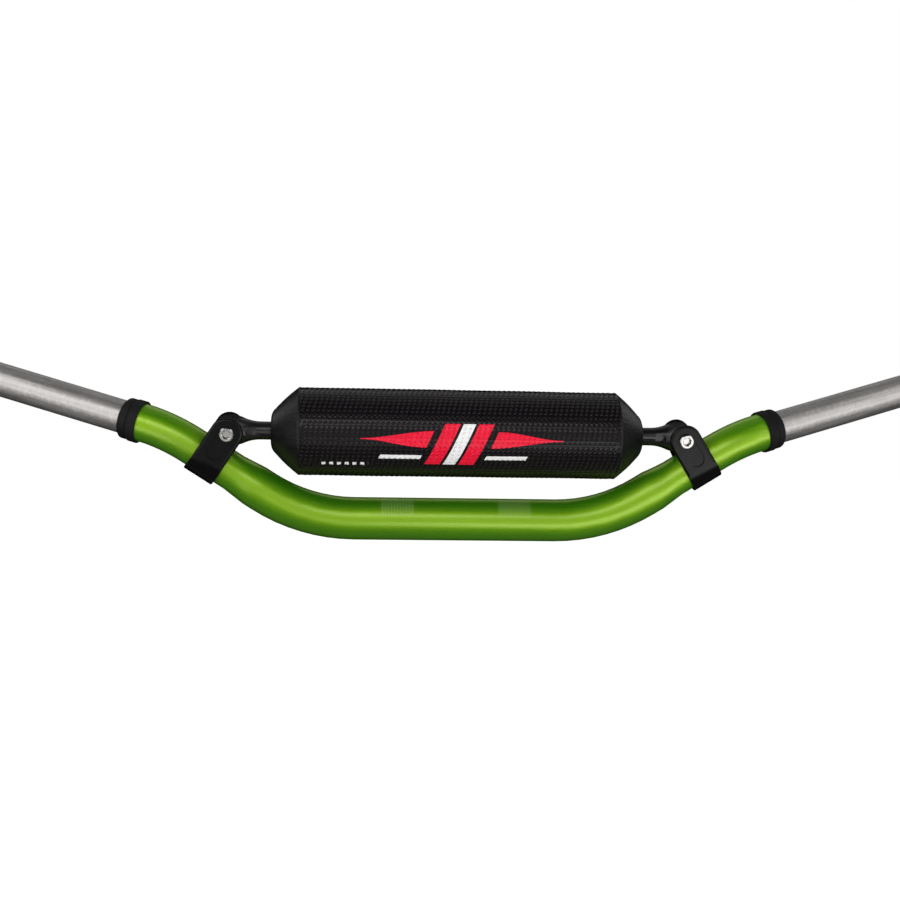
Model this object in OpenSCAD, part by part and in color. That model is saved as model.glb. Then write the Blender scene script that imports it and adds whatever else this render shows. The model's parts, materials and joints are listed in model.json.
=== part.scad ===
// Motocross handlebar with a crossbar and a crossbar pad
// One tapered aluminium tube, bent like a wide U, carries two strap clamps.
// A crossbar is bolted between the clamps, and a foam pad is wrapped round it.
// Origin at the middle of the tube where the fork clamps hold it.
// X runs along the bar, Y points to the rider and Z points up.

/* [Handlebar tube] */
// Overall width from tip to tip
bar_w = 800; // [760:1:840]
// Outside diameter of the clamped middle
centre_d = 28.6; // [27:0.1:30]
// Outside diameter of the necked-down arms
arm_d = 25.4; // [24:0.1:26.4]
// Outside diameter of the bare ends that take the grips
grip_d = 22.2; // [21:0.1:23]
// Wall of the tube, square to its surface
tube_wall = 4; // [2.5:0.1:5]
// Half length of the straight middle
centre_half = 68; // [60:0.5:76]
// Centreline radius of the inner bend
inner_bend_r = 111; // [95:1:130]
// Angle of the inner bend
inner_bend_a = 33; // [28:0.5:36]
// Straight stretch between the two bends
between_bends = 56; // [54:0.5:70]
// Centreline radius of the outer bend
outer_bend_r = 80; // [60:1:100]
// Upward slope of the bare ends
end_rise_a = 12.5; // [8:0.5:16]
// Backward sweep of the bare ends
end_sweep_a = 16; // [10:0.5:22]
// Where the neck down starts, beyond the inner bend
neck_at = 7; // [2:0.5:8]
// Length of the neck down
neck_len = 16; // [10:0.5:20]

/* [Grip collars] */
// Length of a rubber collar along the tube
collar_len = 13; // [12:0.5:20]
// Rubber over the arm at the inboard lip
collar_wall = 1.5; // [1:0.1:3]
// Depth of the groove round a collar
collar_groove = 1; // [0.5:0.1:1.4]
// Rounding of a collar's outboard shoulder
shoulder_edge = 1.8; // [1:0.1:2]
// Straight arm between the outer bend and a collar
collar_gap = 0.5; // [0:0.5:6]
// Depth that the tube is turned down where a collar's outer half sits
seat_depth = 0.3; // [0.2:0.1:0.5]

/* [Strap clamps] */
// Width of a strap along the tube
clamp_w = 21.2; // [18:0.2:24]
// Thickness of a strap
strap_t = 2.2; // [2:0.1:3.6]
// Distance of a strap's middle beyond the inner bend
clamp_at = 41.8; // [40:0.2:43]
// Height of the bolt's axis over the tube's axis
bolt_rise = 21.9; // [21.5:0.1:26]
// Width of the narrower rear tab
rear_tab_w = 19; // [15:0.5:20]
// Height where a rear tab starts to narrow, as a share of the bolt's height
tab_narrow_from = 0.15; // [0.05:0.05:0.3]
// Height where it has its narrow width, as a share of the bolt's height
tab_narrow_to = 0.65; // [0.4:0.05:0.9]
// Rounding of a strap's outer edges under the tube
strap_edge = 0.6; // [0.4:0.1:1.5]
// Rounding of the front ear's edges
ear_edge = 1.8; // [0.4:0.1:1.9]
// Width of the recess in the front face
recess_w = 10.4; // [10.2:0.2:14]
// Distance from the bolt to the recess's lower centre
recess_run = 14.5; // [8:0.5:17]
// Depth of the recess
recess_depth = 0.9; // [0.4:0.1:1.4]

/* [Clamp bolts] */
// Thread diameter
bolt_d = 6; // [5:0.5:6]
// Length under the head
bolt_len = 40; // [39:0.5:46]
// Head diameter
bolt_head_d = 9.5; // [9:0.1:9.8]
// Head height
bolt_head_h = 3.4; // [2:0.1:6]
// Width of the hexagon socket across its flats
socket_af = 5; // [3:0.5:5.5]
// Depth of the hexagon socket
socket_depth = 2.6; // [1.5:0.1:3]
// Bevel round a bolt's head and tip
bolt_edge = 0.6; // [0.3:0.1:0.8]
// Width of a nut across its flats
nut_af = 10; // [9:0.5:12]
// Height of a nut
nut_h = 6; // [4:0.1:7]
// Height of a nut's hexagon, under its round locking collar
nut_hex_h = 4.4; // [2.5:0.1:4.6]
// Diameter of that locking collar
nut_collar_d = 8.8; // [8:0.1:9.9]
// Outside diameter of a washer
washer_d = 12; // [10:0.5:14]
// Thickness of a washer
washer_t = 1.2; // [0.8:0.1:2]

/* [Crossbar] */
// Diameter of the crossbar's rod
rod_d = 12; // [12:0.5:16]
// Radius of the round eye at each end
eye_r = 8.6; // [7.5:0.1:9]
// Thickness of an eye from front to back
eye_t = 19.8; // [16:0.2:21]
// Length of the flare from the rod out to the bolt
flare_len = 21.5; // [20:0.5:28]
// Radius of the hollow flare
flare_r = 27; // [24:1:80]
// Width of the flute along the front and the back
flute_w = 2.4; // [1.5:0.1:4]
// Width of the pocket where a flute ends
pocket_w = 5.6; // [4:0.1:7]
// Distance from the start of the flare to the pocket
pocket_in = 3; // [0:0.5:5]
// Length of that pocket
pocket_len = 4; // [3:0.5:7]
// Depth of the flute and the pockets
flute_depth = 2; // [1:0.1:3]

/* [Eye bushes] */
// Outside diameter of a bush's barrel
bush_d = 9; // [8:0.1:10]
// Outside diameter of a bush's flange
bush_flange_d = 16; // [13:0.5:17]
// Length of a bush's barrel inside the eye
bush_len = 8; // [5:0.5:9]

/* [Crossbar pad] */
// Diameter over the cover
pad_d = 58.5; // [50:0.5:62]
// Bare rod left between each end of the pad and the crossbar's flare
pad_margin = 6.6; // [0.5:0.1:20]
// Length of each tapered end
pad_taper = 18.5; // [14:0.5:26]
// Diameter of the flat face at each end
pad_face_d = 25; // [20:0.5:34]
// Thickness of the cover
cover_t = 1.4; // [0.8:0.1:2]
// Width of the slit that lets the foam clip over the crossbar
foam_slit = 1.5; // [0.5:0.1:4]
// Thickness of each closure strip
strip_t = 1.2; // [0.8:0.1:2]
// Angle that a closure strip spans round the pad
strip_a = 70; // [40:1:100]
// Width of the open edge beside the cover's flap
flap_gap = 0.8; // [0.4:0.1:2]

/* [Clearances] */
// Clearance of parts that slide or press together
fit = 0.1; // [0.05:0.05:0.2]
// Clearance of a bolt in its hole
bolt_play = 0.4; // [0.2:0.1:0.6]

/* [Hidden] */
$fn = 96;
// Overshoot of a cut beyond the face that it opens
cut = 1;
// Each straight laps a little over its bend and stands this much proud of it
seam_lap = 0.05;
seam_step = 0.01;

centre_r = centre_d / 2;
arm_r = arm_d / 2;
grip_r = grip_d / 2;

// Outer bend, worked out from the direction of the bare ends
end_dir = [cos(end_rise_a) * cos(end_sweep_a), cos(end_rise_a) * sin(end_sweep_a), sin(end_rise_a)];
dir_along = end_dir.x * cos(inner_bend_a) + end_dir.z * sin(inner_bend_a);
dir_up = end_dir.z * cos(inner_bend_a) - end_dir.x * sin(inner_bend_a);
outer_bend_a = acos(dir_along);
outer_bend_roll = atan2(-end_dir.y, dir_up);

// Half width that the bends and straights use up, and the bare length left to the tip
inner_bend_x = centre_half + inner_bend_r * sin(inner_bend_a);
inner_bend_z = inner_bend_r * (1 - cos(inner_bend_a));
outer_bend_tangent = outer_bend_r * tan(outer_bend_a / 2);
outer_bend_x = inner_bend_x + (between_bends + outer_bend_tangent) * cos(inner_bend_a)
    + outer_bend_tangent * end_dir.x;
outer_len = (bar_w / 2 - outer_bend_x) / end_dir.x;

// Step from the arm down to the collar's seat, hidden in the middle of a collar
seat_r = grip_r - seat_depth;
step_len = arm_r - seat_r;
step_at = collar_gap + collar_len / 2 - step_len;
seat_end = collar_gap + collar_len + fit;

// Clamp and bolt stack, measured from front to back through the bolt's axis
strap_in = arm_r + fit;
strap_out = strap_in + strap_t;
head_seat = strap_out - recess_depth;
bush_flange_t = strap_in - fit - eye_t / 2;
washer_at = strap_out;
nut_at = washer_at + washer_t;

// Place of the bolt's axis in the bar's own frame
bolt_x = inner_bend_x + clamp_at * cos(inner_bend_a) - bolt_rise * sin(inner_bend_a);
bolt_z = inner_bend_z + clamp_at * sin(inner_bend_a) + bolt_rise * cos(inner_bend_a);

// Crossbar and pad
rod_r = rod_d / 2;
flare_at = bolt_x - flare_len;
pocket_at = flare_at + pocket_in;
pocket_tip = pocket_at + pocket_len + pocket_w / 2;
pad_r = pad_d / 2;
foam_r = pad_r - cover_t;
pad_half = flare_at - pad_margin;
cover_half = pad_half - pad_taper;
pad_face_r = pad_face_d / 2;

// Points of a round corner from one angle to another
function corner(centre, r, from, to, steps = 6) =
    [for (i = [0:steps]) centre + r * [cos(from + (to - from) * i / steps),
                                       sin(from + (to - from) * i / steps)]];

// Draws a shape on one side: -1 is the left, 1 is the right
module on_side(side) {
    if (side > 0) children();
    else mirror([1, 0, 0]) children();
}

// Straight round bar along +X from one station to the next
module rod(from, to, r1, r2) {
    translate([from, 0, 0]) rotate([0, 90, 0]) cylinder(h = to - from, r1 = r1, r2 = r2);
}

// Moves its children past a bend that turns +X towards +Z
module past_bend(bend_r, angle) {
    translate([bend_r * sin(angle), 0, bend_r * (1 - cos(angle))])
        rotate([0, -angle, 0]) children();
}

// Start of the straight between the bends, with +X along it and +Z up
module on_arm() {
    translate([centre_half, 0, 0]) past_bend(inner_bend_r, inner_bend_a) children();
}

// Start of the outer bend
module on_outer_bend() {
    on_arm() translate([between_bends, 0, 0]) rotate([outer_bend_roll, 0, 0]) children();
}

// Start of the bare straight that carries the grip
module on_end() {
    on_outer_bend() past_bend(outer_bend_r, outer_bend_a) children();
}

// Bolt's axis, square to the tube, with -Y to the front
module on_bolt() {
    on_arm() translate([clamp_at, 0, bolt_rise]) children();
}

// Outline of one bend along +X, turning towards +Z
module bend(bend_r, angle, r) {
    translate([0, 0, bend_r]) rotate([0, 90, 0]) rotate([90, 0, 0])
        rotate_extrude(angle = angle) translate([bend_r, 0]) circle(r = r - seam_step);
}

// The whole run of the tube, inset from its outside by a wall or by nothing
module tube_run(inset, overrun) {
    centre = centre_r - inset;
    arm = arm_r - inset;
    grip = grip_r - inset;
    seat = inset > 0 ? grip : seat_r;
    necked = neck_at + neck_len;
    stepped = step_at + step_len;
    rod(-centre_half - seam_lap, centre_half + seam_lap, centre, centre);
    for (side = [-1, 1]) on_side(side) {
        translate([centre_half, 0, 0]) bend(inner_bend_r, inner_bend_a, centre);
        on_arm() {
            rod(-seam_lap, neck_at, centre, centre);
            rod(neck_at, necked, centre, arm);
            rod(necked, between_bends + seam_lap, arm, arm);
        }
        on_outer_bend() bend(outer_bend_r, outer_bend_a, arm);
        on_end() {
            rod(-seam_lap, step_at, arm, arm);
            rod(step_at, stepped, arm, seat);
            rod(stepped, seat_end, seat, seat);
            rod(seat_end, outer_len + overrun, grip, grip);
        }
    }
}

module handlebar_tube() {
    color("limegreen") difference() {
        tube_run(0, 0);
        tube_run(tube_wall, cut);
    }
}

// Half section of a collar: radius, then distance along the tube
lip_r = arm_r + collar_wall;
lip_edge = 0.5;
groove_at = collar_len / 2;
shoulder_r = lip_r - collar_groove / 2;
nose_r = grip_r + collar_wall * 0.6;
nose_edge = 0.8;
collar_outline = concat(
    [[seat_r + fit, collar_len], [seat_r + fit, groove_at], [arm_r + fit, groove_at - step_len],
     [arm_r + fit, 0]],
    corner([lip_r - lip_edge, lip_edge], lip_edge, -90, 0, 3),
    [[lip_r, groove_at - collar_groove], [lip_r - collar_groove, groove_at],
     [shoulder_r, groove_at + collar_groove]],
    corner([shoulder_r - shoulder_edge, collar_len - shoulder_edge - nose_edge], shoulder_edge, 0, 60, 5),
    corner([nose_r - nose_edge, collar_len - nose_edge], nose_edge, 30, 90, 3)
);

module collar(side) {
    color("black") on_side(side) on_end() translate([collar_gap, 0, 0])
        rotate([0, 90, 0]) rotate_extrude() polygon(collar_outline);
}

// Section of the strap, half width along X and its thickness along Y
function strap_section(half_w, edge) = concat(
    [[-half_w, 0]],
    corner([-half_w + edge, strap_t - edge], edge, 180, 90),
    corner([half_w - edge, strap_t - edge], edge, 90, 0),
    [[half_w, 0]]
);

// Front ear: the section run straight up to the bolt, with a round top
module front_ear() {
    half_w = clamp_w / 2;
    translate([0, -strap_in, 0]) {
        linear_extrude(height = bolt_rise) mirror([0, 1]) polygon(strap_section(half_w, ear_edge));
        translate([0, 0, bolt_rise]) rotate([90, 0, 0]) rotate_extrude()
            polygon(concat([[0, 0], [0, strap_t]],
                corner([half_w - ear_edge, strap_t - ear_edge], ear_edge, 90, 0), [[half_w, 0]]));
    }
}

// Rear tab: full width at the tube, narrowing to a round end behind the eye
module rear_tab() {
    half_w = clamp_w / 2;
    tab_r = rear_tab_w / 2;
    narrowing = bolt_rise * tab_narrow_from;
    narrowed = bolt_rise * tab_narrow_to;
    translate([0, strap_out, 0]) rotate([90, 0, 0]) linear_extrude(height = strap_t) {
        polygon([[-half_w, 0], [-half_w, narrowing], [-tab_r, narrowed], [-tab_r, bolt_rise],
                 [tab_r, bolt_rise], [tab_r, narrowed], [half_w, narrowing], [half_w, 0]]);
        translate([0, bolt_rise]) circle(r = tab_r);
    }
}

// Strap wrapped under the tube, from the front ear round to the rear tab
module strap_loop() {
    rotate([0, 90, 0]) rotate([0, 0, -90]) rotate_extrude(angle = 180)
        rotate(-90) translate([0, strap_in]) polygon(strap_section(clamp_w / 2, strap_edge));
}

// Recess in the front face, from the bolt down towards the tube
module front_recess() {
    translate([0, -head_seat, 0]) rotate([90, 0, 0]) linear_extrude(height = recess_depth + cut) {
        circle(d = recess_w);
        translate([-recess_w / 2, -recess_run]) square([recess_w, recess_run]);
        translate([0, -recess_run]) circle(d = recess_w);
    }
}

// Round bar along Y, from one place to the next
module across(d, from, to) {
    translate([0, from, 0]) rotate([-90, 0, 0]) cylinder(h = to - from, d = d);
}

module clamp(side) {
    color("#151515") on_side(side) on_arm() translate([clamp_at, 0, 0]) difference() {
        union() {
            front_ear();
            rear_tab();
            strap_loop();
        }
        translate([0, 0, bolt_rise]) {
            front_recess();
            across(bolt_d + bolt_play, -strap_out - cut, strap_out + cut);
        }
    }
}

// Socket screw, its head seated on the recess's floor
module clamp_bolt(side) {
    head_r = bolt_head_d / 2;
    shank_r = bolt_d / 2;
    color("silver") on_side(side) on_bolt() translate([0, -head_seat, 0]) rotate([90, 0, 0]) difference() {
        rotate_extrude() polygon([[0, bolt_head_h], [head_r - bolt_edge, bolt_head_h],
            [head_r, bolt_head_h - bolt_edge], [head_r, 0], [shank_r, 0], [shank_r, bolt_edge - bolt_len],
            [shank_r - bolt_edge, -bolt_len], [0, -bolt_len]]);
        translate([0, 0, bolt_head_h - socket_depth])
            cylinder(h = socket_depth + cut, d = socket_af / cos(30), $fn = 6);
        translate([0, 0, bolt_head_h - bolt_edge / 2])
            cylinder(h = bolt_edge, r1 = socket_af / 2, r2 = socket_af / 2 + bolt_edge * 1.5);
    }
}

module clamp_washer(side) {
    color("silver") on_side(side) on_bolt() difference() {
        across(washer_d, washer_at, washer_at + washer_t);
        across(bolt_d + bolt_play, washer_at - cut, washer_at + washer_t + cut);
    }
}

// Lock nut: a hexagon with a round collar that grips the thread
module clamp_nut(side) {
    color("silver") on_side(side) on_bolt() difference() {
        union() {
            translate([0, nut_at, 0]) rotate([-90, 0, 0])
                cylinder(h = nut_hex_h, d = nut_af / cos(30), $fn = 6);
            across(nut_collar_d, nut_at, nut_at + nut_h);
        }
        across(bolt_d + fit, nut_at - cut, nut_at + nut_h + cut);
    }
}

// Flanged bush: place is -1 in the front of the eye and 1 in the rear
module eye_bush(side, place) {
    color("dimgray") on_side(side) on_bolt() rotate([-90 * place, 0, 0])
        difference() {
            union() {
                translate([0, 0, eye_t / 2]) cylinder(h = bush_flange_t, d = bush_flange_d);
                translate([0, 0, eye_t / 2 - bush_len]) cylinder(h = bush_len, d = bush_d);
            }
            translate([0, 0, eye_t / 2 - bush_len - cut])
                cylinder(h = bush_len + bush_flange_t + 2 * cut, d = bolt_d + bolt_play);
        }
}

// Crossbar end: a flare turned about the rod, flattened and rounded into an eye
module crossbar_end() {
    reach = bolt_x + eye_r;
    flare_a = asin(min(1, flare_len / flare_r));
    outline = concat(
        [[0, flare_at], [rod_r, flare_at]],
        corner([rod_r + flare_r, flare_at], flare_r, 180, 180 - flare_a, 12),
        [[rod_r + flare_r * (1 - cos(flare_a)), reach], [0, reach]]
    );
    intersection() {
        rotate([0, 90, 0]) rotate_extrude() polygon(outline);
        translate([0, eye_t / 2, 0]) rotate([90, 0, 0]) linear_extrude(height = eye_t) {
            translate([flare_at, -eye_r]) square([flare_len, 2 * eye_r]);
            translate([bolt_x, 0]) circle(r = eye_r);
        }
    }
}

// Flute along one face with a round-ended pocket at each end
module crossbar_flute() {
    floor_y = rod_r - flute_depth;
    depth = eye_t;
    lip = 0.5;
    translate([-pocket_at, 0, 0]) rotate([90, 0, 90]) linear_extrude(height = 2 * pocket_at)
        polygon([[floor_y, -flute_w / 2], [rod_r - lip, -flute_w / 2], [rod_r + cut, -flute_w / 2 - lip - cut],
                 [rod_r + cut, flute_w / 2 + lip + cut], [rod_r - lip, flute_w / 2], [floor_y, flute_w / 2]]);
    for (side = [-1, 1]) on_side(side) translate([0, floor_y + depth, 0]) rotate([90, 0, 0])
        linear_extrude(height = depth) {
            translate([pocket_at, -pocket_w / 2]) square([pocket_len, pocket_w]);
            translate([pocket_tip - pocket_w / 2, 0]) circle(d = pocket_w);
        }
}

module crossbar() {
    color("#1c1c1c") translate([0, 0, bolt_z]) difference() {
        union() {
            rod(-flare_at, flare_at, rod_r, rod_r);
            for (side = [-1, 1]) on_side(side) crossbar_end();
        }
        for (side = [-1, 1]) on_side(side) translate([bolt_x, 0, 0])
            across(bush_d + fit, -eye_t, eye_t);
        for (face = [0, 1]) mirror([0, face, 0]) crossbar_flute();
    }
}

// How much a thickness draws in the rim of an end's flat face, as a share of it
rim_share = 0.4;
// Outline of half the pad, drawn inset by a thickness: radius, then distance along X
function pad_outline(inset) = [
    [pad_r - inset, cover_half - inset * tan(22.5)],
    [pad_face_r - inset * rim_share, pad_half - inset],
];

// Solid of revolution about the crossbar's axis from half an outline
module about_crossbar(points) {
    translate([0, 0, bolt_z]) rotate([0, 90, 0]) rotate_extrude() polygon(points);
}

// Sector of a ring round the crossbar's axis, centred on the rear
module rear_sector(r1, r2, half_len, angle) {
    translate([-half_len, 0, bolt_z]) rotate([0, 90, 0]) rotate([0, 0, 90 - angle / 2])
        rotate_extrude(angle = angle) translate([r1, 0]) square([r2 - r1, 2 * half_len]);
}

module pad_foam() {
    inner = pad_outline(cover_t + fit);
    color("#222222") difference() {
        about_crossbar([[0, -inner[1].y], [inner[1].x, -inner[1].y], [inner[0].x, -inner[0].y],
                        [inner[0].x, inner[0].y], [inner[1].x, inner[1].y], [0, inner[1].y]]);
        translate([0, 0, bolt_z]) {
            rod(-pad_half, pad_half, rod_r + fit, rod_r + fit);
            translate([-pad_half, 0, -foam_slit / 2]) cube([2 * pad_half, pad_r, foam_slit]);
        }
        rear_sector(foam_r - 2 * strip_t - 2 * fit, pad_r, cover_half - cover_t, strip_a + 4);
    }
}

module pad_cover() {
    color("#101010") translate([0, 0, bolt_z]) difference() {
        rod(-cover_half, cover_half, pad_r, pad_r);
        rod(-cover_half - cut, cover_half + cut, foam_r, foam_r);
        rotate([strip_a / 2 - 4, 0, 0]) translate([-pad_half, 0, -flap_gap / 2])
            cube([2 * pad_half, pad_d, flap_gap]);
    }
}

module pad_end(side) {
    outer = pad_outline(0);
    inner = pad_outline(cover_t);
    color("#181818") on_side(side)
        about_crossbar([outer[0], outer[1], [rod_r + fit, pad_half], [rod_r + fit, pad_half - cover_t],
                        inner[1], inner[0], [foam_r, cover_half], outer[0]]);
}

// Hook strip on the foam, and the loop strip between it and the cover
module pad_hook_strip() {
    color("#2a2a2a") rear_sector(foam_r - 2 * strip_t - fit, foam_r - strip_t - fit,
        cover_half - 2 * cover_t, strip_a);
}

module pad_loop_strip() {
    color("#333333") rear_sector(foam_r - strip_t, foam_r - fit, cover_half - 2 * cover_t, strip_a);
}

handlebar_tube();
collar(-1);  // collar_left
collar(1);  // collar_right
clamp(-1);  // clamp_left
clamp(1);  // clamp_right
clamp_bolt(-1);  // clamp_bolt_left
clamp_bolt(1);  // clamp_bolt_right
clamp_washer(-1);  // clamp_washer_left
clamp_washer(1);  // clamp_washer_right
clamp_nut(-1);  // clamp_nut_left
clamp_nut(1);  // clamp_nut_right
eye_bush(-1, -1);  // eye_bush_front_left
eye_bush(1, -1);  // eye_bush_front_right
eye_bush(-1, 1);  // eye_bush_rear_left
eye_bush(1, 1);  // eye_bush_rear_right
crossbar();
pad_foam();
pad_cover();
pad_end(-1);  // pad_end_left
pad_end(1);  // pad_end_right
pad_hook_strip();
pad_loop_strip();
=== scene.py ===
# Looks of the motocross handlebar: its materials, the sewn pad, the stage and the camera.
# Everything is in metres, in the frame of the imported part.
import json
import math

import bpy
from mathutils import Matrix, Vector
from mathutils import noise


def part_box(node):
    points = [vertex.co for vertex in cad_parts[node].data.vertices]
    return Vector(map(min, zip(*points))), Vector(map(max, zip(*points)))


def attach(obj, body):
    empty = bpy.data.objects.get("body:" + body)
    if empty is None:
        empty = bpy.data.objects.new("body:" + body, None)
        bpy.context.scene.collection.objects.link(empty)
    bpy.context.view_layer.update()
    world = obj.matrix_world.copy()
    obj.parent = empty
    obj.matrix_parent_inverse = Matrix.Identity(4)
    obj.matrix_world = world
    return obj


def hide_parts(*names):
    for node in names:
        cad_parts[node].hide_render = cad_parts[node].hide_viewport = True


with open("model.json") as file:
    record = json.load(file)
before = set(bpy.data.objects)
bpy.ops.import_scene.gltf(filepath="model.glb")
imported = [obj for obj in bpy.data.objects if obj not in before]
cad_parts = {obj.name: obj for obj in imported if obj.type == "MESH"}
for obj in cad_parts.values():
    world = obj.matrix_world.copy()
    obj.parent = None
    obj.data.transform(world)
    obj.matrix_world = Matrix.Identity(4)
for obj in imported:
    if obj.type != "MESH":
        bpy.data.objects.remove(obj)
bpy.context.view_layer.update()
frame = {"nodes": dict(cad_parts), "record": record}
nodes = frame["nodes"]

MM = 0.001
SIDES = ("left", "right")

# Sizes taken from the frame
cover_lo, cover_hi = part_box("pad_cover")
end_lo, end_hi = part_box("pad_end_right")
collar_lo, collar_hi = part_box("collar_right")
PAD_Z = (cover_lo[2] + cover_hi[2]) / 2
PAD_R = (cover_hi[2] - cover_lo[2]) / 2
COVER_HALF = cover_hi[0]
PAD_HALF = end_hi[0]

# The tube: where its bare ends start, and how these rise and sweep back
BARE_FROM = (collar_lo[0] + collar_hi[0]) / 2
END_RISE = math.radians(12.5)
END_SWEEP = math.radians(16)

# The etched scales: rings on the upper front of the tube, on each side of its middle
SCALE_FROM = 28 * MM
SCALE_TO = 50 * MM
SCALE_PITCH = 2 * MM
SCALE_LOW = 5.6 * MM
SCALE_BACK = -1 * MM
SCALE_EDGE = 0.5 * MM
SCALE_FADE = 0.4 * MM

# The bolts' sockets, round the bolt's axis and down from its head, whose walls get painted shade
SOCKET_R = 2.95 * MM
SOCKET_END = 2.8 * MM

# Rounded edges, as a width in mm for each node
EDGES = {"clamp_left": 0.35, "clamp_right": 0.35, "crossbar": 0.3}
EDGE_STEPS = 2
SHARP = math.radians(35)
WELD_GAP = 0.002 * MM

# The embossed weave: its pitch along and around the pad, its slant and its height
CELL = 3.35 * MM
ROW = 2.9 * MM
SLANT = 0.23
EMBOSS = 0.22 * MM

# The print on the pad, as distances along it and around it from the front
PRINT_LEAN = 0.45
PRINT_FADE = 0.15 * MM
BAR_LOW = -17 * MM
BAR_HIGH = 12 * MM
RED_PLACE = 11 * MM
RED_HALF = 5 * MM
WHITE_HALF = 4 * MM
WING_FROM = 21 * MM
WING_TO = 66 * MM
WING_MIDDLE = 1.5 * MM
WING_ROOT = 5.5 * MM
WING_TIP = 0.3 * MM
LINE_TO = 48 * MM
LINE_LOW = -12.5 * MM
LINE_HIGH = -9.5 * MM
TICK_PITCH = 5 * MM
TICKS_FROM = -92 * MM
TICKS_TO = -60 * MM
TICKS_LOW = -18.2 * MM
TICKS_HIGH = -15.8 * MM

# The cover: its lapped edge at the rear, the tuck beside it and the plain cuffs
FLAP_ANGLE = math.radians(149)
TUCK = 1.2 * MM
TUCK_SPAN = math.radians(16)
HEM = 4 * MM
COVER_SINK = 0.35 * MM
CUFF = 2 * MM
CUFF_FADE = 1.5 * MM
COVER_RIPPLE = 0.25 * MM
RIPPLE_FADE = 12 * MM
COVER_STEP = 0.64 * MM
SEAM_NUDGE = 1e-6

# The end panels: hem, crowned slope, rounded rim and face, with puckers near the seam
HEM_PROFILE = ((-1.4, -1.2), (-0.5, -0.9), (-0.1, -0.2), (-0.15, 0.4))
SLOPE_START = (-0.7, 1.1)
SLOPE_LEAN = math.radians(42)
SLOPE_STEPS = 14
CROWN = 0.5 * MM
RIM = 8.5 * MM
RIM_R = 14.8 * MM
RIM_STEPS = 8
FACE_STEPS = 6
FACE_DISH = 0.5 * MM
ROD_HOLE_R = 6.7 * MM
LIP_R = 6.65 * MM
LIP_DEPTH = 2.5 * MM
END_COUNT = 240
END_RIPPLE = 0.4 * MM
PUCKER = 0.16 * MM
PUCKER_WAVES = 26
PUCKER_FROM = 2 * MM
PUCKER_REACH = 7 * MM

# Where a noise texture's values lie, apart from its rare ends
NOISE_LOW = 0.3
NOISE_HIGH = 0.7

# The colour sockets of a mix node
MIX_FIRST = 6
MIX_SECOND = 7
MIX_RESULT = 2


# Small helpers for node trees

class Shader:
    """A material with one principled shader, and calls that add and join its nodes."""

    def __init__(self, name, color, roughness, metallic=0.0, specular=0.5):
        self.mat = bpy.data.materials.new(name)
        self.mat.use_nodes = True
        self.tree = self.mat.node_tree
        self.bsdf = self.tree.nodes["Principled BSDF"]
        self.bsdf.inputs["Base Color"].default_value = (*color, 1)
        self.bsdf.inputs["Roughness"].default_value = roughness
        self.bsdf.inputs["Metallic"].default_value = metallic
        self.bsdf.inputs["Specular IOR Level"].default_value = specular
        self.mat.diffuse_color = (*color, 1)
        self.coords = self.tree.nodes.new("ShaderNodeTexCoord").outputs["Object"]

    def node(self, kind, **settings):
        made = self.tree.nodes.new(kind)
        for key, value in settings.items():
            setattr(made, key, value)
        return made

    def put(self, socket, value):
        if isinstance(value, bpy.types.NodeSocket):
            self.tree.links.new(value, socket)
        else:
            socket.default_value = value

    def math(self, operation, *values):
        made = self.node("ShaderNodeMath", operation=operation)
        for socket, value in zip(made.inputs, values):
            self.put(socket, value)
        return made.outputs[0]

    def times(self, first, second):
        return self.math("MULTIPLY", first, second)

    def wave(self, kind, place, pitch):
        """A sine or cosine along a place, once in each pitch."""
        return self.math(kind, self.times(place, 2 * math.pi / pitch))

    def axes(self):
        split = self.node("ShaderNodeSeparateXYZ")
        self.put(split.inputs[0], self.coords)
        return split.outputs

    def mapped(self, vector, scale=(1, 1, 1), turn=(0, 0, 0)):
        made = self.node("ShaderNodeMapping")
        self.put(made.inputs["Vector"], vector)
        made.inputs["Scale"].default_value = scale
        made.inputs["Rotation"].default_value = turn
        return made.outputs[0]

    def noise(self, scale, detail=4.0, rough=0.5, vector=None):
        made = self.node("ShaderNodeTexNoise")
        self.put(made.inputs["Vector"], vector or self.coords)
        made.inputs["Scale"].default_value = scale
        made.inputs["Detail"].default_value = detail
        made.inputs["Roughness"].default_value = rough
        return made.outputs["Fac"]

    def cells(self, scale):
        made = self.node("ShaderNodeTexVoronoi")
        self.put(made.inputs["Vector"], self.coords)
        made.inputs["Scale"].default_value = scale
        return made.outputs["Distance"]

    def remap(self, value, low, high, to_low=0.0, to_high=1.0):
        made = self.node("ShaderNodeMapRange", interpolation_type="SMOOTHSTEP")
        for socket, number in zip(made.inputs, (value, low, high, to_low, to_high)):
            self.put(socket, number)
        return made.outputs[0]

    def vary(self, value, to_low=0.0, to_high=1.0):
        """A noise spread over a range."""
        return self.remap(value, NOISE_LOW, NOISE_HIGH, to_low, to_high)

    def mix(self, factor, first, second):
        made = self.node("ShaderNodeMix", data_type="RGBA")
        self.put(made.inputs["Factor"], factor)
        self.put(made.inputs[MIX_FIRST], first)
        self.put(made.inputs[MIX_SECOND], second)
        return made.outputs[MIX_RESULT]

    def color(self, value):
        self.put(self.bsdf.inputs["Base Color"], value)

    def rough(self, value):
        self.put(self.bsdf.inputs["Roughness"], value)

    def bump(self, height, distance, strength=1.0):
        made = self.node("ShaderNodeBump")
        made.inputs["Strength"].default_value = strength
        made.inputs["Distance"].default_value = distance
        before = self.bsdf.inputs["Normal"].links
        if before:
            self.put(made.inputs["Normal"], before[0].from_socket)
        self.put(made.inputs["Height"], height)
        self.put(self.bsdf.inputs["Normal"], made.outputs[0])


def rgb(red, green, blue):
    return (red, green, blue, 1.0)


# Materials

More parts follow.
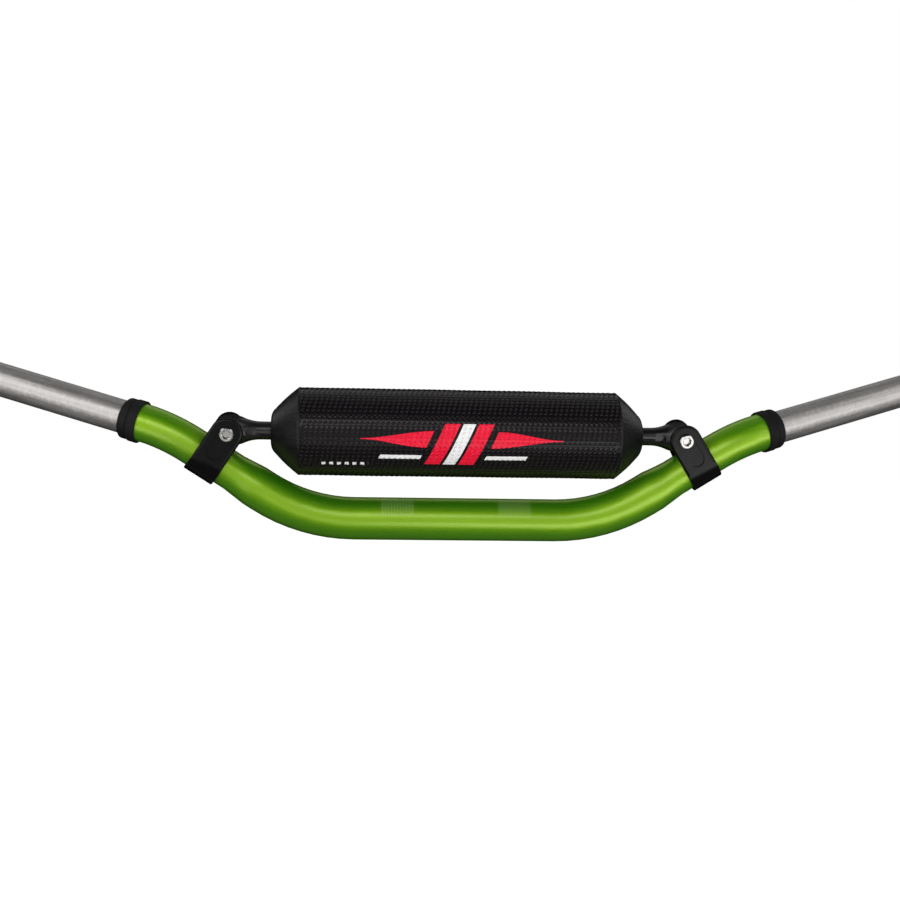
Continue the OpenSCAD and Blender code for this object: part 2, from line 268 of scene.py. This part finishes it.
def etched_scales(s):
    """Mask of the two blocks of fine rings, with a faint field between the rings."""
    x, y, z = s.axes()
    across = s.math("ABSOLUTE", x)
    inner = s.remap(across, SCALE_FROM, SCALE_FROM + SCALE_EDGE)
    outer = s.remap(across, SCALE_TO, SCALE_TO + SCALE_EDGE, 1.0, 0.0)
    high = s.remap(z, SCALE_LOW, SCALE_LOW + SCALE_FADE)
    front = s.remap(y, SCALE_BACK - SCALE_FADE, SCALE_BACK, 1.0, 0.0)
    block = s.times(s.times(inner, outer), s.times(high, front))
    rings = s.remap(s.wave("SINE", x, SCALE_PITCH), 0.2, 0.5, 0.25, 0.8)
    return s.times(block, rings)


def anodised_material():
    """Satin green anodising over the middle and the arms, with etched alignment scales."""
    s = Shader("tube_aluminium", (0.010, 0.175, 0.003), 0.34)
    s.bsdf.inputs["IOR"].default_value = 3.6
    s.bsdf.inputs["Coat Weight"].default_value = 0.7
    s.bsdf.inputs["Coat Roughness"].default_value = 0.22
    s.bsdf.inputs["Specular Tint"].default_value = rgb(0.70, 1.0, 0.02)
    drift = s.vary(s.noise(9.0, 2.0))
    green = s.mix(drift, rgb(0.006, 0.160, 0.003), rgb(0.013, 0.195, 0.004))
    specks = s.remap(s.cells(95.0), 0.035, 0.05, 1.0, 0.0)
    green = s.mix(s.times(specks, 0.5), green, rgb(0.008, 0.08, 0.003))
    etched = etched_scales(s)
    s.color(s.mix(s.times(etched, 0.5), green, rgb(0.26, 0.40, 0.18)))
    satin = s.vary(s.noise(900.0, 3.0), 0.40, 0.48)
    s.rough(s.math("ADD", satin, s.times(etched, 0.15)))
    s.bump(s.noise(60.0, 3.0), 0.10 * MM, 0.25)
    return s.mat


def bare_material():
    """Bare brushed aluminium of the ends, with its fine lines along the tube."""
    s = Shader("tube_bare", (0.50, 0.49, 0.47), 0.44, metallic=1.0)
    x, y, z = s.axes()
    folded = s.node("ShaderNodeCombineXYZ")
    for socket, value in zip(folded.inputs, (s.math("ABSOLUTE", x), y, z)):
        s.put(socket, value)
    turned = s.mapped(folded.outputs[0], turn=(0, END_RISE, -END_SWEEP))
    along = s.mapped(turned, scale=(0.03, 1, 1))
    around = s.mapped(turned, scale=(1, 0.05, 0.05))
    lines = s.noise(700.0, 5.0, 0.6, vector=along)
    bands = s.remap(s.noise(230.0, 3.0, 0.6, vector=along), 0.42, 0.62)
    rubbed = s.noise(1600.0, 4.0, 0.6, vector=around)
    grain = s.remap(s.noise(420.0, 3.0, 0.6), 0.45, 0.7)
    mottle = s.remap(s.noise(40.0, 4.0, 0.6), 0.5, 0.75)
    silver = s.mix(s.vary(lines), rgb(0.44, 0.425, 0.41), rgb(0.58, 0.565, 0.55))
    silver = s.mix(s.times(bands, 0.55), silver, rgb(0.30, 0.28, 0.27))
    silver = s.mix(s.times(grain, 0.35), silver, rgb(0.70, 0.68, 0.665))
    silver = s.mix(s.times(mottle, 0.25), silver, rgb(0.34, 0.33, 0.32))
    s.color(silver)
    brushed = s.math("ADD", s.times(lines, 0.6), s.times(rubbed, 0.4))
    s.rough(s.vary(brushed, 0.40, 0.58))
    s.bump(lines, 0.02 * MM, 0.5)
    s.bump(rubbed, 0.02 * MM, 0.4)
    return s.mat


def collar_material():
    """Matte black rubber."""
    s = Shader("collar_rubber", (0.010, 0.010, 0.010), 0.7, specular=0.2)
    dusty = s.remap(s.noise(60.0), 0.35, 0.7)
    s.color(s.mix(dusty, rgb(0.004, 0.004, 0.004), rgb(0.009, 0.009, 0.009)))
    s.bump(s.noise(1400.0, 3.0), 0.03 * MM, 0.5)
    return s.mat


def clamp_material():
    """Gloss black anodising on forged straps."""
    s = Shader("clamp_metal", (0.003, 0.003, 0.0035), 0.22, specular=0.17)
    s.rough(s.vary(s.noise(90.0, 3.0), 0.19, 0.25))
    s.bump(s.noise(260.0, 2.0), 0.01 * MM, 0.2)
    return s.mat


def steel_material():
    """Bright zinc plated steel."""
    s = Shader("fastener_steel", (0.55, 0.54, 0.51), 0.26, metallic=1.0)
    cloud = s.noise(160.0, 2.0)
    s.color(s.mix(s.vary(cloud), rgb(0.48, 0.465, 0.45), rgb(0.54, 0.525, 0.51)))
    s.rough(s.vary(cloud, 0.24, 0.27))
    return s.mat


def socket_shade_material():
    """The same steel, darkened inside a socket: painted shade on the socket's walls, mottled by a
    noise.
    """
    s = Shader("fastener_socket_shade", (0.05, 0.05, 0.05), 0.5, metallic=0.6)
    # Painted shade: dark colours for the walls inside the socket
    shade_mottle = s.vary(s.noise(900.0))
    s.color(s.mix(shade_mottle, rgb(0.012, 0.012, 0.012), rgb(0.07, 0.068, 0.064)))
    return s.mat


def bush_material():
    """Black moulded nylon."""
    s = Shader("bush_plastic", (0.02, 0.02, 0.022), 0.5)
    s.rough(s.vary(s.noise(500.0), 0.42, 0.6))
    s.bump(s.noise(1100.0), 0.02 * MM, 0.4)
    return s.mat


def crossbar_material():
    """Satin black anodising, tinted lighter brown along its sharp edges."""
    s = Shader("crossbar_metal", (0.014, 0.014, 0.015), 0.3, metallic=0.2, specular=0.6)
    geometry = s.node("ShaderNodeNewGeometry")
    # Lighter brown where the surface is sharply convex, found by pointiness
    worn = s.remap(geometry.outputs["Pointiness"], 0.53, 0.6, 0.0, 0.35)
    streak = s.noise(300.0, 4.0, vector=s.mapped(s.coords, scale=(0.1, 1, 1)))
    black = s.mix(s.vary(streak), rgb(0.005, 0.005, 0.0055), rgb(0.010, 0.010, 0.0105))
    s.color(s.mix(worn, black, rgb(0.15, 0.11, 0.09)))
    s.rough(s.vary(streak, 0.26, 0.36))
    return s.mat


def foam_material():
    """Closed-cell foam."""
    s = Shader("pad_foam", (0.03, 0.03, 0.03), 0.95, specular=0.2)
    s.bump(s.cells(900.0), 0.2 * MM, 0.8)
    return s.mat


def fabric_material():
    """Hook and loop tape."""
    s = Shader("closure_fabric", (0.025, 0.025, 0.025), 0.95, specular=0.2)
    s.bump(s.noise(1800.0, 6.0, 0.7), 0.4 * MM, 0.9)
    return s.mat


def print_masks(s, x, around):
    """Masks of the red and of the white parts of the racing print."""

    def window(value, low, high):
        rise = s.remap(value, low - PRINT_FADE, low + PRINT_FADE)
        fall = s.remap(value, high - PRINT_FADE, high + PRINT_FADE, 1.0, 0.0)
        return s.times(rise, fall)

    def either(first, second):
        return s.math("MAXIMUM", first, second)

    lean = s.math("SUBTRACT", x, s.times(around, PRINT_LEAN))
    tall = window(around, BAR_LOW, BAR_HIGH)

    def slanted_bar(centre, half_width):
        return s.times(window(lean, centre - half_width, centre + half_width), tall)

    across = s.math("ABSOLUTE", lean)
    taper = s.remap(across, WING_FROM, WING_TO, WING_ROOT, WING_TIP)
    off_middle = s.math("ABSOLUTE", s.math("SUBTRACT", around, WING_MIDDLE))
    past_taper = s.math("SUBTRACT", off_middle, taper)
    inside = s.remap(past_taper, -PRINT_FADE, PRINT_FADE, 1.0, 0.0)
    wings = s.times(window(across, WING_FROM, WING_TO), inside)
    red = either(either(slanted_bar(-RED_PLACE, RED_HALF), slanted_bar(RED_PLACE, RED_HALF)), wings)

    lines = s.times(window(across, WING_FROM, LINE_TO), window(around, LINE_LOW, LINE_HIGH))
    row = s.times(window(x, TICKS_FROM, TICKS_TO), window(around, TICKS_LOW, TICKS_HIGH))
    ticks = s.times(row, s.remap(s.wave("SINE", x, TICK_PITCH), -0.1, 0.1))
    white = either(either(slanted_bar(0, WHITE_HALF), lines), ticks)
    return red, white


def vinyl_material():
    """Black vinyl with an embossed weave and a red and white racing print."""
    s = Shader("pad_vinyl", (0.004, 0.004, 0.005), 0.24, specular=0.22)
    x, y, z = s.axes()
    angle = s.math("ARCTAN2", s.math("SUBTRACT", z, PAD_Z), s.times(y, -1.0))
    around = s.times(angle, PAD_R)
    red, white = print_masks(s, x, around)
    grain = s.noise(700.0, 5.0, 0.6)
    black = s.mix(s.vary(grain), rgb(0.005, 0.0035, 0.0045), rgb(0.008, 0.006, 0.0075))
    worn = s.remap(s.noise(1500.0, 3.0), 0.25, 0.45, 0.55, 1.0)
    shade = s.mix(s.times(red, worn), black, rgb(0.95, 0.010, 0.045))
    s.color(s.mix(s.times(white, worn), shade, rgb(1.0, 1.0, 1.0)))
    s.rough(s.vary(grain, 0.16, 0.23))

    slanted = s.math("SUBTRACT", x, s.times(around, SLANT))
    cells = s.remap(s.wave("COSINE", slanted, CELL), -0.6, 0.9)
    rows = s.remap(s.wave("COSINE", around, ROW), -0.6, 0.9)
    s.bump(s.times(cells, rows), 0.55 * MM, 1.0)
    s.bump(grain, 0.05 * MM, 0.5)
    return s.mat


def end_material():
    """Smooth black vinyl of the tapered ends."""
    s = Shader("pad_end_vinyl", (0.004, 0.004, 0.005), 0.34, specular=0.25)
    grain = s.noise(600.0, 5.0, 0.6)
    s.color(s.mix(s.vary(grain), rgb(0.003, 0.003, 0.0035), rgb(0.006, 0.006, 0.0065)))
    s.rough(s.vary(grain, 0.34, 0.48))
    s.bump(grain, 0.06 * MM, 0.6)
    return s.mat


materials = {
    "tube_aluminium": anodised_material(),
    "tube_bare": bare_material(),
    "collar_rubber": collar_material(),
    "clamp_metal": clamp_material(),
    "fastener_steel": steel_material(),
    "fastener_socket_shade": socket_shade_material(),
    "bush_plastic": bush_material(),
    "crossbar_metal": crossbar_material(),
    "pad_foam": foam_material(),
    "pad_vinyl": vinyl_material(),
    "pad_end_vinyl": end_material(),
    "closure_fabric": fabric_material(),
}


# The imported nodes

def join_faces(piece):
    weld = piece.modifiers.new("joined_faces", "WELD")
    weld.merge_threshold = WELD_GAP


def round_edges(piece, width):
    join_faces(piece)
    edge = piece.modifiers.new("rounded_edges", "BEVEL")
    edge.width = width
    edge.segments = EDGE_STEPS
    edge.limit_method = "ANGLE"
    edge.angle_limit = SHARP
    edge.harden_normals = True


def dress_tube(tube):
    """Even shading along the bends, sharp rims, and bare metal outside the collars."""
    join_faces(tube)
    split = tube.modifiers.new("sharp_rims", "EDGE_SPLIT")
    split.split_angle = SHARP
    tube.modifiers.new("even_shading", "WEIGHTED_NORMAL")
    tube.data.materials.append(materials["tube_bare"])
    for polygon in tube.data.polygons:
        polygon.material_index = 1 if abs(polygon.center.x) > BARE_FROM else 0


def paint_socket_shade(name):
    bolt = nodes[name].data
    bolt.materials.append(materials["fastener_socket_shade"])
    lo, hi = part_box(name)
    for polygon in bolt.polygons:
        x, y, z = polygon.center
        off_axis = math.hypot(x - (lo[0] + hi[0]) / 2, z - (lo[2] + hi[2]) / 2)
        wall = abs(polygon.normal.y) < 0.5
        # Painted shade: the walls inside the socket take the dark socket material
        if wall and off_axis < SOCKET_R and y < lo[1] + SOCKET_END:
            polygon.material_index = 1


def dress_nodes():
    for part in frame["record"]["subparts"]:
        piece = nodes[part["node"]]
        piece.data.materials.clear()
        piece.data.materials.append(materials[part["material_slot"]])
    for name, width in EDGES.items():
        round_edges(nodes[name], width * MM)
    dress_tube(nodes["handlebar_tube"])
    for side in SIDES:
        paint_socket_shade("clamp_bolt_" + side)


# The sewn pad

def pad_point(x, radius, angle):
    return (x, -radius * math.cos(angle), PAD_Z + radius * math.sin(angle))


def mesh_piece(name, verts, faces, slot_name):
    mesh = bpy.data.meshes.new(name)
    mesh.from_pydata(verts, [], faces)
    mesh.validate()
    for polygon in mesh.polygons:
        polygon.use_smooth = True
    made = bpy.data.objects.new(name, mesh)
    bpy.context.collection.objects.link(made)
    made.data.materials.append(materials[slot_name])
    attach(made, "root")
    return made


def soft_ripple(x, angle, size):
    """Slow unevenness of stuffed vinyl."""
    place = Vector((x * 22, math.cos(angle) * 1.3, math.sin(angle) * 1.3))
    return size * noise.noise(place)


def weave_height(x, around):
    """Height of the embossed weave, from 0 to 1, at a place along and around the pad."""
    along = (x - SLANT * around) / CELL
    across = around / ROW
    return (0.5 + 0.5 * math.cos(2 * math.pi * along)) * (0.5 + 0.5 * math.cos(2 * math.pi * across))


def cover_radius(x, angle):
    """Outer radius of the cover: weave, ripples, and a flap whose edge lies over the tucked edge."""
    from_flap = (FLAP_ANGLE - angle) % (2 * math.pi)
    tucked = max(0.0, 1 - from_flap / TUCK_SPAN)
    past_flap = (2 * math.pi - from_flap) * PAD_R
    to_end = COVER_HALF - abs(x)
    plain = min(1.0, max(0.0, (to_end - CUFF) / CUFF_FADE))
    if past_flap < HEM:
        plain = min(plain, past_flap / HEM) ** 3
    radius = PAD_R - COVER_SINK - TUCK * tucked ** 0.6
    radius += EMBOSS * plain * weave_height(x, angle * PAD_R)
    radius += soft_ripple(x, angle, COVER_RIPPLE) * min(1.0, to_end / RIPPLE_FADE)
    return radius


def pad_cover():
    count_x = round(2 * COVER_HALF / COVER_STEP)
    count_a = round(2 * math.pi * PAD_R / COVER_STEP)
    verts = []
    for i in range(count_x + 1):
        x = -COVER_HALF + 2 * COVER_HALF * i / count_x
        for j in range(count_a + 1):
            angle = FLAP_ANGLE + 2 * math.pi * j / count_a
            angle -= SEAM_NUDGE if j == count_a else 0
            angle += SEAM_NUDGE if j == 0 else 0
            verts.append(pad_point(x, cover_radius(x, angle), angle))
    row = count_a + 1
    faces = []
    for i in range(count_x):
        for j in range(row):
            k = (j + 1) % row
            faces.append((i * row + j, (i + 1) * row + j, (i + 1) * row + k, i * row + k))
    made = mesh_piece("pad_cover_skin", verts, faces, "pad_vinyl")
    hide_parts("pad_cover", "pad_foam")
    return made


def end_profile():
    """Radius and place along X of one end panel, from the hem at the cover to the rod."""

    def at_hem(out, past):
        return (PAD_R + out * MM, COVER_HALF + past * MM)

    points = [at_hem(*pair) for pair in HEM_PROFILE]
    full_turn = math.pi / 2 - SLOPE_LEAN
    slope_from = Vector(at_hem(*SLOPE_START))
    slope_to = Vector((RIM_R, PAD_HALF - RIM * (1 - math.cos(full_turn))))
    for i in range(SLOPE_STEPS + 1):
        t = i / SLOPE_STEPS
        crown = 0.7 * CROWN * math.sin(math.pi * t)
        place = slope_from.lerp(slope_to, t)
        points.append((place.x + crown, place.y + crown))
    for i in range(1, RIM_STEPS + 1):
        turn = full_turn * (1 - i / RIM_STEPS)
        radius = RIM_R - RIM * (math.sin(full_turn) - math.sin(turn))
        points.append((radius, PAD_HALF - RIM * (1 - math.cos(turn))))
    inner = points[-1][0]
    for i in range(1, FACE_STEPS + 1):
        t = i / FACE_STEPS
        points.append((inner + (ROD_HOLE_R - inner) * t, PAD_HALF - FACE_DISH * t * t))
    points.append((LIP_R, PAD_HALF - LIP_DEPTH))
    return points


def pad_end(side):
    profile = end_profile()
    sign = 1 if side == "right" else -1
    hem_last = len(HEM_PROFILE) - 1
    slope_last = hem_last + SLOPE_STEPS + 3
    verts = []
    for index, (radius, place) in enumerate(profile):
        from_seam = abs(place - COVER_HALF - PUCKER_FROM)
        near_seam = max(0.0, 1 - from_seam / PUCKER_REACH)
        for j in range(END_COUNT):
            angle = 2 * math.pi * j / END_COUNT
            pucker = PUCKER * near_seam * math.sin(PUCKER_WAVES * angle + 2 * math.sin(3 * angle))
            ripple = 0
            if hem_last < index < slope_last:
                ripple = soft_ripple(sign * (place + 0.3), angle, END_RIPPLE)
            verts.append(pad_point(sign * place, radius - abs(pucker) + min(0, ripple), angle))
    faces = []
    for i in range(len(profile) - 1):
        for j in range(END_COUNT):
            k = (j + 1) % END_COUNT
            near = i * END_COUNT
            far = near + END_COUNT
            quad = (near + j, far + j, far + k, near + k)
            faces.append(quad if sign > 0 else quad[::-1])
    made = mesh_piece("pad_end_panel_" + side, verts, faces, "pad_end_vinyl")
    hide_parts("pad_end_" + side)
    return made


# Stage, lights and camera

FLOOR_HALF = 8.0
FLOOR_HEIGHT = -0.9

MIDDLE = (0, 0, 0.04)
LEFT_ARM = (-0.3, 0, 0.06)
RIGHT_ARM = (0.3, 0, 0.06)
LEFT_END = (-0.35, 0.05, 0.08)
RIGHT_END = (0.35, 0.05, 0.08)

# Name, place, aim, width, height and watts of each soft box
SOFTBOXES = (
    ("front", (0.5, -1.5, 0.2), MIDDLE, 1.5, 1.6, 4.2),
    ("front_left", (-0.6, -1.5, 0.25), MIDDLE, 0.7, 1.6, 3),
    ("front_high", (-0.5, -1.3, 1.0), MIDDLE, 1.9, 0.45, 8),
    ("front_low", (0.75, -1.45, -0.5), MIDDLE, 1.7, 0.6, 8),
    ("left_low", (-1.15, -1.3, -0.45), MIDDLE, 0.9, 0.6, 2.6),
    ("above", (0, 0.5, 1.8), MIDDLE, 2.6, 0.8, 1.5),
    ("behind", (0, 1.5, 1.4), MIDDLE, 2.2, 0.9, 4.5),
    ("behind_left", (-1.7, 0.9, 0.8), LEFT_ARM, 1.0, 1.0, 4),
    ("behind_right", (1.7, 0.9, 0.8), RIGHT_ARM, 1.0, 1.0, 4),
    ("left", (-1.7, -1.0, 0.25), LEFT_ARM, 1.0, 1.5, 10),
    ("right", (1.7, -1.0, 0.25), RIGHT_ARM, 1.0, 1.5, 9),
    ("high_left", (-1.4, -0.4, 1.3), LEFT_END, 1.0, 0.8, 4),
    ("high_right", (1.4, -0.4, 1.3), RIGHT_END, 1.0, 0.8, 4),
    ("below", (0, -0.2, -0.6), MIDDLE, 2.0, 1.2, 0.8),
)

CAMERA_TARGET = Vector((-4.84, 0, 47.78)) * MM
CAMERA_DISTANCE = 0.9
CAMERA_ELEVATION = math.radians(11.77)
CAMERA_YAW = math.radians(-5.03)
CAMERA_ROLL = math.radians(1.88)
CAMERA_LENS = 53.87


def stage():
    scene = bpy.context.scene
    scene.view_settings.view_transform = "Standard"
    world = bpy.data.worlds.new("studio")
    world.use_nodes = True
    background = world.node_tree.nodes["Background"]
    background.inputs["Color"].default_value = rgb(1, 1, 1)
    background.inputs["Strength"].default_value = 1.0
    world.cycles_visibility.glossy = False
    world.cycles_visibility.diffuse = False
    scene.world = world

    signs = ((-1, -1), (1, -1), (1, 1), (-1, 1))
    corners = [(x * FLOOR_HALF, y * FLOOR_HALF, FLOOR_HEIGHT) for x, y in signs]
    mesh = bpy.data.meshes.new("floor")
    mesh.from_pydata(corners, [], [(0, 1, 2, 3)])
    floor = bpy.data.objects.new("floor", mesh)
    bpy.context.collection.objects.link(floor)
    pale = Shader("floor_pale", (0.95, 0.95, 0.95), 0.9)
    pale.bsdf.inputs["Emission Color"].default_value = rgb(1, 1, 1)
    pale.bsdf.inputs["Emission Strength"].default_value = 1.0
    floor.data.materials.append(pale.mat)
    floor.visible_glossy = False
    floor.visible_diffuse = False


def softbox(name, place, aim, width, height, watts):
    data = bpy.data.lights.new(name, "AREA")
    data.shape = "RECTANGLE"
    data.size = width
    data.size_y = height
    data.energy = watts
    made = bpy.data.objects.new(name, data)
    bpy.context.collection.objects.link(made)
    made.location = place
    made.rotation_euler = (Vector(aim) - Vector(place)).to_track_quat("-Z", "Y").to_euler()
    made.visible_camera = False


def camera():
    data = bpy.data.cameras.new("camera")
    data.sensor_width = 36
    data.lens = CAMERA_LENS
    made = bpy.data.objects.new("camera", data)
    bpy.context.collection.objects.link(made)
    turn = Matrix.Rotation(CAMERA_YAW, 4, "Z")
    turn = turn @ Matrix.Rotation(math.pi / 2 - CAMERA_ELEVATION, 4, "X")
    turn = turn @ Matrix.Rotation(CAMERA_ROLL, 4, "Z")
    back = turn.col[2].to_3d()
    made.matrix_world = Matrix.Translation(CAMERA_TARGET + CAMERA_DISTANCE * back) @ turn
    bpy.context.scene.camera = made


dress_nodes()
pad_cover()
for side in SIDES:
    pad_end(side)
stage()
for box in SOFTBOXES:
    softbox(*box)
camera()
